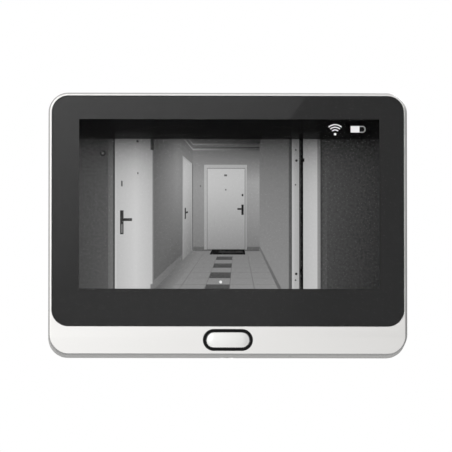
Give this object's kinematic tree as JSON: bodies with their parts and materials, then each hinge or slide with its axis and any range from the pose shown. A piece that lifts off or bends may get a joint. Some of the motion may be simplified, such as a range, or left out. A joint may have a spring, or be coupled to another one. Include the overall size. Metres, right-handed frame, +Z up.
{
  "type": "peephole door camera",
  "caption": "Peephole door camera: an indoor screen monitor on a wall plate, clamped through the door by a threaded barrel to a round outdoor head with lens, motion sensor and bell button.",
  "frame": {"origin": "on the barrel's axis, in the plane of the door's inner face, which is the wall plate's back", "axes": "+X right and +Z up for a person indoors facing the screen; +Y from the room through the door"},
  "size_m": [0.1134, 0.0867, 0.083],
  "materials": {
    "frame_white": "satin silver-white moulding",
    "cover_glass": "polished toughened glass",
    "black_tape": "foam adhesive",
    "screen": "lit display",
    "backlight_tray": "satin",
    "dark_plastic": "fine moulded grain",
    "steel_screw": "zinc plated",
    "circuit_board": "solder mask",
    "shield_tin": "tinned",
    "antenna_strip": "copper on film",
    "battery_wrap": "film wrap",
    "button_black": "polished black",
    "button_silver": "silver-white, glossy",
    "switch_tin": "stamped",
    "switch_plunger": "moulded",
    "socket_steel": "stamped",
    "connector_cream": "moulded",
    "cable_jacket": "flat ribbon",
    "rear_grey": "fine moulded grain",
    "plate_steel": "zinc plated sheet",
    "clamp_metal": "nickel plated",
    "black_rubber": "closed-cell foam",
    "head_silver": "satin silver paint",
    "panel_black": "polished black",
    "lens_black": "black anodised",
    "lens_glass": "coated",
    "led_resin": "tinted resin",
    "sensor_can": "stamped",
    "dome_white": "translucent moulding",
    "light_ring": "light guide",
    "bell_cap": "satin silver paint",
    "filter_glass": "coated"
  },
  "bodies": {
    "monitor": {"front_frame": "frame_white", "cover_glass": "cover_glass", "glass_tape": "black_tape", "lcd_panel": "screen", "lcd_backlight": "backlight_tray", "mid_frame": "dark_plastic", "frame_screws": "steel_screw", "main_board": "circuit_board", "board_screws": "steel_screw", "processor_shield": "shield_tin", "wifi_module": "shield_tin", "wifi_antenna": "antenna_strip", "battery": "battery_wrap", "battery_tape": "connector_cream", "speaker": "dark_plastic", "microphone": "black_rubber", "home_button_ring": "button_black", "home_switch": "switch_tin", "usb_socket": "socket_steel", "card_socket": "socket_steel", "door_cable_socket": "connector_cream", "door_cable_plug": "connector_cream", "door_cable": "cable_jacket", "rear_cover": "rear_grey", "rear_screws": "steel_screw", "mounting_plate": "plate_steel", "lock_screw": "steel_screw"},
    "home_button": {"home_button": "button_silver", "home_switch_plunger": "switch_plunger"},
    "clamp_nut": {"clamp_nut": "clamp_metal"},
    "camera_head": {"camera_barrel": "clamp_metal", "barrel_screws": "steel_screw", "door_gasket": "black_rubber", "head_base": "dark_plastic", "head_seal": "black_rubber", "head_shell": "head_silver", "head_screws": "steel_screw", "face_panel": "panel_black", "head_board": "circuit_board", "head_cable_socket": "connector_cream", "image_sensor": "button_black", "lens_holder": "dark_plastic", "lens_barrel": "lens_black", "lens_front": "lens_glass", "lens_rear": "lens_glass", "ir_leds": "led_resin", "pir_sensor": "sensor_can", "pir_dome": "dome_white", "bell_light_ring": "light_ring", "bell_switch": "dark_plastic", "bell_speaker": "dark_plastic", "bell_microphone": "sensor_can"},
    "bell_button": {"bell_button": "bell_cap", "bell_switch_plunger": "switch_plunger"},
    "ir_filter": {"ir_filter_carrier": "dark_plastic", "ir_filter_panes": "filter_glass"}
  },
  "joints": [
    {"name": "home_button_press", "type": "slide", "parent": "monitor", "child": "home_button", "axis": [0, 1, 0], "range_m": [0, 0.0005], "stiffness_N_per_m": 800, "springref_m": -0.0003},
    {"name": "clamp_nut_turn", "type": "hinge", "parent": "monitor", "child": "clamp_nut", "pos_m": [0, 0, 0], "axis": [0, 1, 0], "range_deg": [-3245, 3245]},
    {"name": "door_gap_adjust", "type": "slide", "parent": "monitor", "child": "camera_head", "axis": [0, 1, 0], "range_m": [-0.009, 0.009], "deforming": ["door_cable"]},
    {"name": "bell_button_press", "type": "slide", "parent": "camera_head", "child": "bell_button", "axis": [0, -1, 0], "range_m": [0, 0.0006], "stiffness_N_per_m": 800, "springref_m": -0.0003},
    {"name": "ir_filter_slide", "type": "slide", "parent": "camera_head", "child": "ir_filter", "axis": [1, 0, 0], "range_m": [0, 0.006]}
  ],
  "couplings": [
    {"joint": "clamp_nut_turn", "follows": "door_gap_adjust", "rad_per_m": -6283.2}
  ]
}
